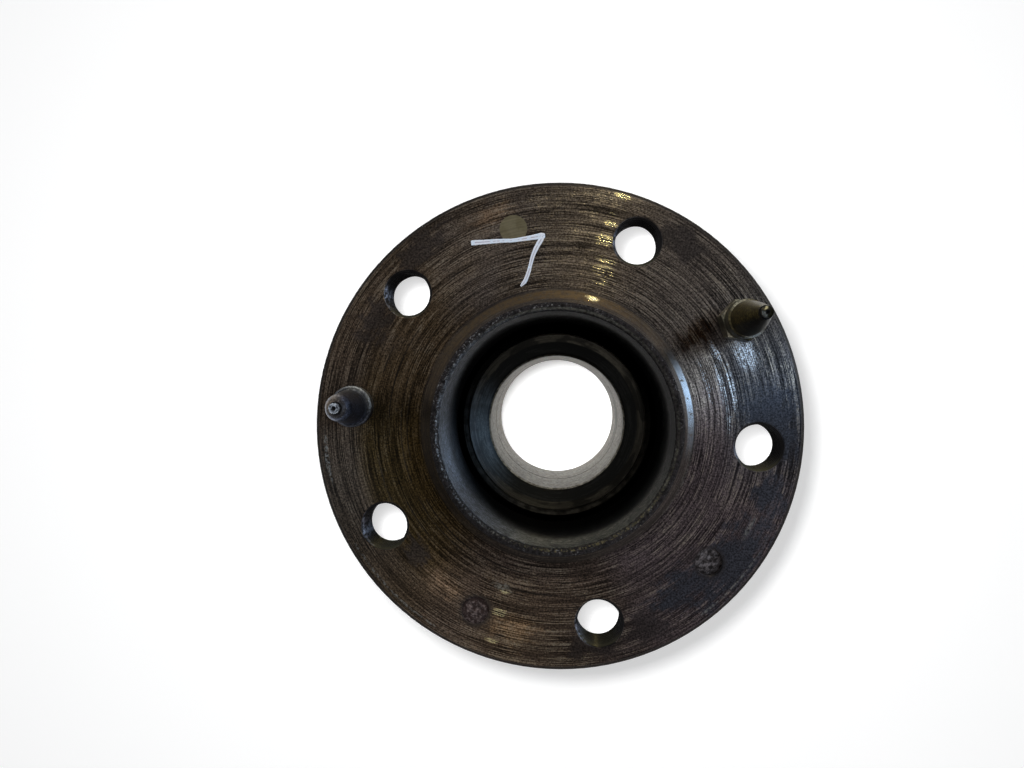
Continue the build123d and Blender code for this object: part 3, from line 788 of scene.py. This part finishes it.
def stain_ring_face(d, coat, turned, fray):
    """Outboard face of the inner ring: black where the nut's washer sat, with painted bluish light on one
    side, an edge of grime painted lighter towards the top, a painted reflection on its outer corner, and
    black with grease and painted shade where the seal hides it.
    """
    radius = d.radius
    face = d.smooth(d.height, RING_FACE - 0.9, RING_FACE - 0.5)
    # Painted light: bluish on one side.
    blue_side = d.times(towards(d, 190, 50), d.smooth(fray, 0.3, 0.6, 0.6, 1))
    coat.lay(face, d.mix(blue_side, RING_BLACK, RING_BLUE), rough=0.42)
    face_or_side = d.smooth(d.height, RING_FACE - 2.4, RING_FACE - 2)
    edge = d.times(face_or_side, d.smooth(radius, WASHER_R, WASHER_R + 0.4))
    warm = d.smooth(d.plus(turned["Broken"], d.times(fray, 0.5)), 0.5, 0.95)
    # Edge of grime, painted lighter towards the top.
    edge_grime_and_light = d.scaled(d.mix(warm, RING_EDGE_DARK, RING_EDGE), d.level(towards(d, 70, 75), 0.72, 1.9))
    coat.lay(edge, d.mix(blue_side, edge_grime_and_light, RING_EDGE_BLUE))
    crest = d.smooth(turned["Tone"], 0.62, 1, 0, 0.5)
    coat.lay(d.times(face, crest), d.scaled(coat.colour, 2.2))
    # Painted reflection on the outer corner.
    corner = d.times(d.smooth(radius, RING_CORNER_R, RING_CORNER_R + 0.3), face_or_side)
    coat.shade(2.4, d.times(corner, d.smooth(towards(d, 180, 60), 0.9, 0.2)))
    # Black with grease and painted shade where the seal hides the ring.
    coat.lay(d.smooth(radius, RING_HIDDEN_R, RING_HIDDEN_R + 0.3), GREASE_AND_SHADE_BLACK, metal=1, rough=0.3)


def whiten_the_bore(d, coat, fray):
    """Bore: pale dried grease with black specks, a dark line where the two rings meet, painted shade near
    its top and its foot, and darker in a band below the joint on one side.
    """
    height = d.height
    bore = d.smooth(d.radius, BORE_R + 0.5, BORE_R + 0.25)
    film = d.mix(d.smooth(fray, 0.4, 0.6), BORE_PALE, BORE_BEIGE)
    streaks = d.use(turning_lines, spacing=1.3, sweep=3, seed=51)["Relief"]
    film = d.scaled(film, d.level(streaks, 0.8, 1.15))
    # Painted shade near the top of the bore and, on one side, at its foot.
    shaded = d.times(d.smooth(height, RING_FACE - 7.5, RING_FACE - 2.5), towards(d, 68, 140))
    film = d.scaled(film, 0.18, shaded)
    foot = d.times(d.smooth(height, -48, -60), towards(d, 80, 120))
    film = d.scaled(film, 0.35, foot)
    grain = clouds(d, 0.8, 27)
    film = d.scaled(film, d.smooth(grain, 0.32, 0.68, 0.45, 1.5))
    film = d.mix(d.use(pits, size=1.9, share=0.14)["Mask"], film, BORE_SPECK)
    joint = between(d, height, RING_JOINT - 0.5, RING_JOINT + 1.3, 0.5)
    film = d.mix(d.times(joint, 0.9), film, BORE_SPECK)
    shy = between(d, height, RING_JOINT - 10, RING_JOINT + 1, 3)
    film = d.scaled(film, 0.35, d.times(shy, towards(d, 5, 60)))
    coat.lay(bore, film, metal=d.level(d.maths("MAXIMUM", shaded, foot), 0.4, 1), rough=0.5)


def plain_metal(name, colour, stain, rough, metal, lines_depth=0.01, size=3, grooves=0.35, cover=0.5):
    """A small turned or pressed part with stains, tool marks and specks."""
    material, d = new_finish(name)
    turned = d.use(turned_tone, spacing=0.35, sweep=1.2)
    cloud = d.use(blotches, size=size, cover=cover, softness=0.12)
    speck = d.use(pits, size=0.7, share=0.15)["Mask"]
    uneven = d.level(cloud["Cloud"], rough - 0.1, rough + 0.1)
    coat = Coat(d, d.mix(cloud["Mask"], colour, stain), metal, uneven)
    coat.shade(d.level(turned["Tone"], 1 - grooves, 1 + grooves))
    coat.lay(d.times(speck, grooves), tuple(c * 0.3 for c in stain))
    coat.close(relief(d, turned["Relief"], lines_depth))
    return material


def pin_finish(name, node, colour, rough, dress):
    """A turned pin: its own colour, dressed by height, with painted shade in the neck below its button and
    in the dimple in the button on its end.
    """
    material, d = new_finish(name)
    low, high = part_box(node)
    axis = ((low.x + high.x) / 2 / MM, (low.y + high.y) / 2 / MM, 0)
    top = high.z / MM
    d.stand(axis)
    turned = d.use(turned_tone, axis=axis, spacing=0.35, sweep=0.9, seed=6)
    fray = clouds(d, 1.8, 3)
    coat = Coat(d, colour, 0.85, rough)
    button_foot = top - BUTTON_LENGTH
    button = d.smooth(d.height, button_foot - 0.05, button_foot + 0.05)
    dress(d, coat, fray, button, top)
    coat.shade(d.level(turned["Tone"], 0.6, 1.4))
    coat.shade(d.smooth(clouds(d, 0.5, 14), 0.34, 0.66, 0.4, 1.6))
    # Painted shade in the neck below the button and in the dimple on its end.
    neck = between(d, d.height, button_foot - 0.6, button_foot + 0.15, 0.12)
    coat.lay(neck, GRIME_AND_SHADE_BLACK, rough=0.6)
    end = d.smooth(d.height, top - 0.7, top - 0.6)
    coat.lay(d.times(d.smooth(d.radius, 0.6, 0.45), end), GRIME_AND_SHADE_BLACK, rough=0.6)
    coat.close(relief(d, turned["Relief"], 0.02))
    return material


def dress_long_pin(d, coat, fray, button, top):
    """Yellow passivation, with painted shade on one side and on the lower facets, painted light on two
    facets, and painted highlights on the shoulder's edge and the button.
    """
    height = d.height
    # Painted shade on one side of the pin.
    shaded_side = d.smooth(d.plus(towards(d, -55, 150), fray), 0.55, 1.15)
    coat.lay(shaded_side, PIN_SHADE_BLACK, metal=1, rough=0.45)
    level = top - LONG_PIN_BODY
    coat.lay(d.smooth(height, level - 0.5, level - 0.7), PIN_DULL, rough=0.45)
    # Painted light on two facets of the hexagon.
    lit_facets = d.maths("MAXIMUM", towards(d, 235, 50), towards(d, 140, 42))
    lit_facets = d.times(lit_facets, d.smooth(fray, 0.34, 0.56, 0.4, 1))
    below_drum = d.smooth(height, LONG_DRUM_FOOT + 0.3, LONG_DRUM_FOOT - 0.3)
    coat.lay(d.times(lit_facets, below_drum), PIN_FACET_LIT, rough=0.35)
    # Painted shade on the lower facets.
    coat.lay(d.times(towards(d, -85, 50), below_drum), PIN_SHADE_BLACK, metal=1)
    # Painted highlights on the shoulder's edge, above and below.
    shoulder = between(d, height, level - 0.55, level + 0.2, 0.15)
    upper, lower = towards(d, 122, 52), towards(d, -68, 56)
    shown = d.maths("MAXIMUM", d.maths("MAXIMUM", upper, lower), 0.08)
    coat.lay(d.times(shoulder, shown), d.mix(lower, PIN_EDGE_HIGHLIGHT, PIN_EDGE_HIGHLIGHT_BLUE))
    # Button: painted shade with grey on one side, and a painted gold glint.
    tip = d.mix(towards(d, 215, 70), PIN_SHADE_BLACK, PIN_TIP_GREY)
    chips = d.smooth(clouds(d, 0.6, 12), 0.4, 0.6)
    gold = d.times(towards(d, 120, 55), chips)
    coat.lay(button, d.mix(gold, tip, PIN_TIP_GLINT), rough=0.4)


def dress_short_pin(d, coat, fray, button, top):
    """Blue-black oil film with pale specks and beige painted light on one side, a dark end land with
    painted beige light on one side, a dark shoulder with a painted pale highlight, and a bright button.
    """
    height = d.height
    # Painted light: beige on one side.
    lit_beige = d.times(towards(d, 125, 100), d.smooth(fray, 0.36, 0.5))
    coat.lay(lit_beige, PIN_LIT_BEIGE)
    # End land: dark, with painted beige light on one side.
    end = d.smooth(height, top - BUTTON_LENGTH - 1.6, top - BUTTON_LENGTH - 1)
    coat.lay(end, d.mix(towards(d, 150, 100), PIN_END_DARK, PIN_LIT_BEIGE), rough=0.5)
    spots = d.use(pits, size=0.5, share=0.24)["Mask"]
    coat.lay(d.times(spots, 0.6), PIN_PALE_SPECK_AND_HIGHLIGHT)
    level = top - SHORT_PIN_BODY
    shoulder = d.smooth(height, level + 0.15, level - 0.05)
    # Shoulder: dark, with a painted pale highlight on one side.
    pale_side = d.times(towards(d, 58, 95), d.smooth(fray, 0.32, 0.56, 0.35, 1))
    coat.lay(shoulder, d.mix(pale_side, PIN_SHOULDER_DARK, PIN_PALE_SPECK_AND_HIGHLIGHT), rough=0.4)
    chips = d.smooth(clouds(d, 0.45, 12), 0.4, 0.56, 0.15, 1)
    coat.lay(button, d.scaled(PIN_BUTTON, chips), rough=0.28)


def moulded(name, colour, shade, rough, grain):
    """Rubber or plastic with a fine moulded grain and dusty patches."""
    material, d = new_finish(name)
    cloud = d.use(blotches, size=5, cover=0.5, softness=0.15, seed=2)
    uneven = d.level(cloud["Cloud"], rough - 0.1, rough + 0.1)
    coat = Coat(d, d.mix(cloud["Mask"], colour, shade), 0, uneven)
    coat.close(relief(d, clouds(d, 0.5, 8), grain))
    return material


def greased_rubber():
    """Rubber of the seals, black with grease and painted shade, and brown with dried grease on the lip by
    the ring, with painted bluish light on one side.
    """
    material, d = new_finish("seal rubber")
    d.stand()
    cloud = clouds(d, 2, 8)
    turned = d.use(turned_tone, spacing=0.4, sweep=2.5, seed=7)
    coat = Coat(d, GREASE_AND_SHADE_BLACK, 1, 0.35)
    lip = d.times(d.smooth(d.radius, RING_HIDDEN_R - 0.1, RING_HIDDEN_R - 0.4), towards(d, 250, 165))
    lip = d.times(lip, d.smooth(cloud, 0.34, 0.6, 0.5, 1))
    coat.lay(lip, DRIED_GREASE, metal=0.8, rough=0.45)
    # Painted light: bluish on one side of the lip.
    bluish = d.times(lip, towards(d, 195, 55))
    coat.lay(bluish, d.scaled(RING_EDGE_BLUE, 1.5), metal=0.9)
    coat.shade(d.level(turned["Tone"], 0.6, 1.4))
    coat.close(relief(d, cloud, 0.02))
    return material


def paint_pen_film():
    """Pale paint-pen film: thick at the stroke's edges, thin and dark along its middle."""
    material, d = new_finish("paint-pen film")
    across = d.node("SeparateXYZ", {0: d.node("TexCoord").outputs["UV"]}).outputs["X"]
    worn = d.use(blotches, size=1.6, cover=0.5, softness=0.1, seed=21)
    core = between(d, across, 0.34, 0.66, 0.12)
    coat = Coat(d, d.mix(worn["Mask"], PEN_BLUE, PEN_WHITE), 0, 0.42)
    coat.lay(d.times(core, d.smooth(worn["Cloud"], 0.44, 0.56, 0, 0.8)), PEN_THIN)
    coat.close(relief(d, worn["Cloud"], 0.02))
    return material


def add_object(name, data):
    made = bpy.data.objects.new(name, data)
    bpy.context.scene.collection.objects.link(made)
    return made


def make_piece(name, points, faces, material, uvs=None):
    """A smooth mesh piece in millimetres that rides on the hub."""
    mesh = bpy.data.meshes.new(name)
    mesh.from_pydata([tuple(c * MM for c in point) for point in points], [], faces)
    if uvs:
        layer = mesh.uv_layers.new(name="stroke")
        for loop in mesh.loops:
            layer.data[loop.index].uv = uvs[loop.vertex_index]
    for polygon in mesh.polygons:
        polygon.use_smooth = True
    mesh.materials.append(material)
    mesh.update()
    piece = add_object(name, mesh)
    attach(piece, "hub")


def grid_faces(rows, columns, closed=False):
    """Quads between the rows of a grid of points; closed joins each row's ends."""
    faces = []
    for row in range(rows - 1):
        for column in range(columns if closed else columns - 1):
            nxt = (column + 1) % columns
            here, there = row * columns, (row + 1) * columns
            faces.append((here + column, here + nxt, there + nxt, there + column))
    return faces


def on_circle(radius, angle, height=0):
    turn = math.radians(angle)
    return Vector((radius * math.cos(turn), radius * math.sin(turn), height))


def cut_thread(number, material):
    """Helical ridge of a wheel bolt hole, with its foot sunk in the wall."""
    centre = on_circle(BOLT_CIRCLE_R, BOLT_ANGLE + number * BOLT_STEP)
    turns = (THREAD_TOP - THREAD_BOTTOM) / THREAD_PITCH
    count = int(turns * THREAD_STEPS)
    points = []
    for step in range(count + 1):
        turn = step / THREAD_STEPS
        run_out = min(1, min(turn, turns - turn) * 3 + 0.05)
        for radius, rise in THREAD_SECTION:
            reach = THREAD_FOOT_R - (THREAD_FOOT_R - radius) * run_out
            height = THREAD_BOTTOM + turn * THREAD_PITCH + rise * run_out
            points.append(centre + on_circle(reach, turn * 360, height))
    faces = grid_faces(count + 1, len(THREAD_SECTION))
    make_piece(f"bolt_thread_{number + 1}", points, faces, material)


# Strokes of the paint mark as centre points on the flange's face, each with its half width.
LONG_STROKE = (
    (-20.9, 44.85, 0.72), (-20.2, 44.95, 0.8), (-17, 45.15, 0.7), (-13.5, 45.36, 0.62),
    (-10.7, 45.43, 0.6), (-7.6, 45.85, 0.68), (-5.2, 46.22, 0.85), (-3.6, 46.45, 0.98), (-2.75, 46.5, 0.6),
)
SHORT_STROKE = (
    (-3.3, 46.6, 0.5), (-3.75, 45.6, 0.78), (-4.9, 43.6, 0.72), (-5.75, 41.6, 0.62), (-6.35, 39.4, 0.58),
    (-6.85, 37.5, 0.6), (-7.6, 35.6, 0.66), (-8.2, 34.8, 0.52), (-8.75, 34.2, 0.22),
)
# Half of the film's profile, from the middle out: share of the half width, share of the thickness.
PAINT_PROFILE = ((0, 0.5), (0.25, 0.62), (0.62, 1), (0.92, 0.7), (1, 0))
PAINT_THICK = 0.06
PAINT_LIFT = 0.004
STROKE_SPREAD = 0.78
STROKE_STEPS = 8


def smooth_course(knots, steps):
    """Points along a smooth curve through the knots."""
    course = []
    for index in range(len(knots) - 1):
        before = Vector(knots[max(index - 1, 0)])
        start, end = Vector(knots[index]), Vector(knots[index + 1])
        after = Vector(knots[min(index + 2, len(knots) - 1)])
        for step in range(steps):
            t = step / steps
            square = (2 * before - 5 * start + 4 * end - after) * t**2
            cube = (3 * start - before - 3 * end + after) * t**3
            course.append(0.5 * (2 * start + (end - before) * t + square + cube))
    course.append(Vector(knots[-1]))
    return course


def lay_paint(name, knots, lift, material):
    """One stroke: a low film with raised edges."""
    course = smooth_course(knots, STROKE_STEPS)
    profile = [(-share, rise) for share, rise in PAINT_PROFILE[:0:-1]] + list(PAINT_PROFILE)
    points, uvs = [], []
    run = 0
    for index, knot in enumerate(course):
        before = course[max(index - 1, 0)]
        ahead = course[min(index + 1, len(course) - 1)] - before
        side = Vector((-ahead.y, ahead.x)).normalized()
        run += (knot.xy - before.xy).length
        wobble = 1 + 0.1 * noise.noise(Vector((run * 0.9, lift * 50, 1)))
        for share, rise in profile:
            spot = knot.xy + side * knot.z * STROKE_SPREAD * share * wobble
            points.append((spot.x, spot.y, PAINT_LIFT + lift + PAINT_THICK * rise))
            uvs.append(((share + 1) / 2, run))
    faces = grid_faces(len(course), len(profile))
    make_piece(name, points, faces, material, uvs=uvs)


# Torn faces of the broken screws.
TEAR_RINGS = 14
TEAR_SEGMENTS = 44
TEAR_R = SMALL_HOLE_R - 0.04
TEAR_LIFT = 0.012


def tear_screw(side, step, slope, material, rough_height):
    """Torn face of a broken screw, a rough sheet just over the stub's slanted end."""
    angle = SMALL_ANGLE + step * BOLT_STEP
    centre = on_circle(SMALL_CIRCLE_R, angle)
    radial = on_circle(1, angle)
    rise = math.tan(math.radians(slope))
    middle = top_of("screw_stub_" + side) - abs(rise) * SMALL_HOLE_R
    points = []
    for ring in range(TEAR_RINGS + 1):
        edge = 1 - (ring / TEAR_RINGS) ** 6
        for segment in range(TEAR_SEGMENTS):
            offset = on_circle(TEAR_R * ring / TEAR_RINGS, segment * 360 / TEAR_SEGMENTS)
            torn = noise.fractal(Vector((offset.x * 0.9, offset.y * 0.9, angle)), 0.7, 2.1, 4)
            lift = rough_height * (0.5 + 0.5 * max(-1, min(1, torn))) * edge
            height = middle + rise * offset.dot(radial) + TEAR_LIFT + lift
            points.append(centre + Vector((offset.x, offset.y, height)))
    faces = grid_faces(TEAR_RINGS + 1, TEAR_SEGMENTS, closed=True)
    make_piece("torn_face_" + side, points, faces, material)


def dress_frame():
    """Finish every CAD node and add the pieces that the solids leave out."""
    hub_iron, bearing_steel = turned_hub_iron(), ground_bearing_steel()
    # Each goes to the nodes whose names start with its key, the longest key first.
    finishes = {
        "hub_flange": hub_iron,
        "bearing_outer_ring": bearing_steel,
        "inner_ring": bearing_steel,
        "ball": plain_metal("polished ball steel", BALL_STEEL, BALL_DULL, 0.15, 1, 0.001),
        "inner_ring_clip": plain_metal("spring clip steel", CLIP_GREY, CLIP_DARK, 0.42, 0.8),
        # Near black with grease and painted shade, deep in the recess.
        "circlip": plain_metal("greased and shaded circlip steel", CLIP_GREASE_AND_SHADE, CLIP_GREASE_AND_SHADE_DARK, 0.35, 1),
        "abs_tone_ring": plain_metal("tone ring steel", TONE_GREY, TONE_RUST, 0.45, 0.85, 0.02),
        "locating_pin_long": pin_finish(
            "yellow passivated pin", "locating_pin_long", PIN_OLIVE, 0.46, dress_long_pin
        ),
        "locating_pin_short": pin_finish(
            "oiled pin steel", "locating_pin_short", PIN_BLUE, 0.36, dress_short_pin
        ),
        "screw_stub_top": plain_metal(
            "ground screw end", STUB_OLIVE, STUB_BROWN, 0.55, 0.6, 0.002, grooves=0.12
        ),
        "screw_stub_lower": plain_metal("broken screw", SCREW_BROWN, SCREW_DARK, 0.7, 0.5, 0.02),
        "cage": moulded("cage nylon", NYLON, NYLON_SHADE, 0.45, 0.01),
        "seal_case": plain_metal("seal case sheet", CASE_GREY, CASE_DULL, 0.4, 0.9, 0.005),
        "seal_lip": greased_rubber(),
    }
    for name, node in frame["nodes"].items():
        finish = max((key for key in finishes if name.startswith(key)), key=len)
        node.data.materials.clear()
        node.data.materials.append(finishes[finish])

    for number in range(BOLT_COUNT):
        cut_thread(number, hub_iron)
    film = paint_pen_film()
    lay_paint("paint_stroke_long", LONG_STROKE, 0, film)
    lay_paint("paint_stroke_short", SHORT_STROKE, 0.01, film)
    red_tear = plain_metal("rusty torn steel", TEAR_RED, TEAR_ROSE, 0.6, 0.7, 0.02, size=0.9, cover=0.34)
    grey_tear = plain_metal("grey torn steel", TEAR_GREY, TEAR_BLACK, 0.55, 0.85, 0.02, size=1)
    tear_screw("lower_left", 3, 10, red_tear, 0.25)
    tear_screw("lower_right", 4, -12, grey_tear, 0.3)


def aim(lamp, azimuth, tilt, distance):
    """Place a lamp round the part, tilt degrees from overhead, and turn it to the origin."""
    lean = math.radians(tilt)
    place = on_circle(distance * math.sin(lean), azimuth, distance * math.cos(lean))
    lamp.location = place * MM
    lamp.rotation_euler = (-place).to_track_quat("-Z", "Y").to_euler()


def hang_lamp(name, azimuth, tilt, distance, width, height, radiance, colour):
    """Rectangular lamp that only shows in gloss."""
    data = bpy.data.lights.new(name, "AREA")
    data.shape = "RECTANGLE"
    data.size, data.size_y = width * MM, height * MM
    data.energy = radiance * 4 * data.size * data.size_y
    data.color = colour
    lamp = add_object(name, data)
    aim(lamp, azimuth, tilt, distance)
    lamp.visible_camera = False
    lamp.visible_diffuse = False


# How much brighter the studio is on one side than in its middle.
BRIGHT_SIDE = 0.45


def lamp_of(data, floor, floor_only):
    """Put a lamp in the scene; it lights either the floor alone or everything but the floor."""
    lamp = add_object(data.name, data)
    lit = bpy.data.collections.new(data.name + " reach")
    lit.objects.link(floor)
    lit.collection_objects[0].light_linking.link_state = "INCLUDE" if floor_only else "EXCLUDE"
    lamp.light_linking.receiver_collection = lit
    lamp.visible_glossy = False
    lamp.visible_camera = False
    return lamp


def light_scene(floor):
    """Lamps for gloss, a sun for the part, a low lamp for the floor, and a pale studio."""
    warm, cool = (1, 0.86, 0.5), (0.62, 0.81, 1)
    hang_lamp("warm_strip", 75.5, 40, 700, width=7, height=420, radiance=52, colour=warm)
    hang_lamp("cool_window", 13, 52, 700, width=200, height=700, radiance=3.2, colour=cool)
    sun_data = bpy.data.lights.new("key_sun", "SUN")
    sun_data.energy = 1.8
    sun_data.angle = math.radians(6)
    aim(lamp_of(sun_data, floor, floor_only=False), azimuth=135, tilt=25.5, distance=800)
    low_data = bpy.data.lights.new("low_lamp", "POINT")
    low_data.energy = 1.95
    low_data.shadow_soft_size = 8 * MM
    low_lamp = lamp_of(low_data, floor, floor_only=True)
    low_lamp.location = on_circle(25.4 * MM, 118.7, 200 * MM)

    world = bpy.data.worlds.new("studio")
    bpy.context.scene.world = world
    world.use_nodes = True
    world.node_tree.nodes.clear()
    d = Drawing(world.node_tree)
    way = d.node("TexCoord").outputs["Generated"]
    up = d.node("SeparateXYZ", {0: way}).outputs["Z"]
    glow = d.smooth(up, 0, 1, 1, 0.28)
    side = d.number("DOT_PRODUCT", way, on_circle(BRIGHT_SIDE, 40))
    glow = d.times(glow, d.plus(1, side))
    back = d.node("Background", {"Color": (0.98, 0.99, 1), "Strength": glow})
    close_finish(d, back, "World")


# Where the floor shows through the wheel bolt holes, with the shade on its upper left.
FLOOR_REACH = 6
HOLE_LIGHT_R = 64.2
HOLE_LIGHT_SHIFT = (2.2, -5.5, 0)


def lay_floor():
    """Pale floor under the barrel. It shows white where nothing shades it, and to camera and gloss it
    glows: more inside the barrel and behind the wheel bolt holes, with painted shade on their upper left.
    """
    mesh = bpy.data.meshes.new("floor")
    square = ((-1, -1), (1, -1), (1, 1), (-1, 1))
    corners = [(x * FLOOR_REACH, y * FLOOR_REACH, cad_low.z) for x, y in square]
    mesh.from_pydata(corners, [], [(0, 1, 2, 3)])
    floor = add_object("floor", mesh)
    material, d = new_finish("pale floor")
    spot = d.use(axle_place, axis=(4, -4, 0))
    lit_inside = d.smooth(spot["Radius"], 11.5, 25, 0.85, 0.4)
    floor_r = d.use(axle_place)["Radius"]
    glow = d.level(d.smooth(floor_r, 40, 34), 0.3, lit_inside)
    hole_gap = d.use(nearest_hole, axis=HOLE_LIGHT_SHIFT, circle=HOLE_LIGHT_R)["Distance"]
    glow = d.level(d.smooth(hole_gap, 11, 2), glow, 0.66)
    path = d.node("LightPath").outputs
    seen = d.maths("MAXIMUM", path["Is Camera Ray"], path["Is Glossy Ray"])
    plain = d.node("BsdfDiffuse", {"Color": (0.8, 0.8, 0.8)})
    light = d.node("Emission", {"Color": (1, 1, 1), "Strength": d.times(glow, seen)})
    close_finish(d, d.node("AddShader", {0: plain.outputs[0], 1: light.outputs[0]}))
    mesh.materials.append(material)
    return floor


def set_camera():
    data = bpy.data.cameras.new("camera")
    data.lens, data.sensor_width, data.sensor_fit = LENS, SENSOR, "HORIZONTAL"
    data.clip_start, data.clip_end = 0.01, 50
    camera = add_object("camera", data)
    camera.location = [c * MM for c in CAMERA_PLACE]
    camera.rotation_euler = CAMERA_TILT
    bpy.context.scene.camera = camera


dress_frame()
light_scene(lay_floor())
set_camera()
bpy.context.scene.view_settings.view_transform = "Standard"
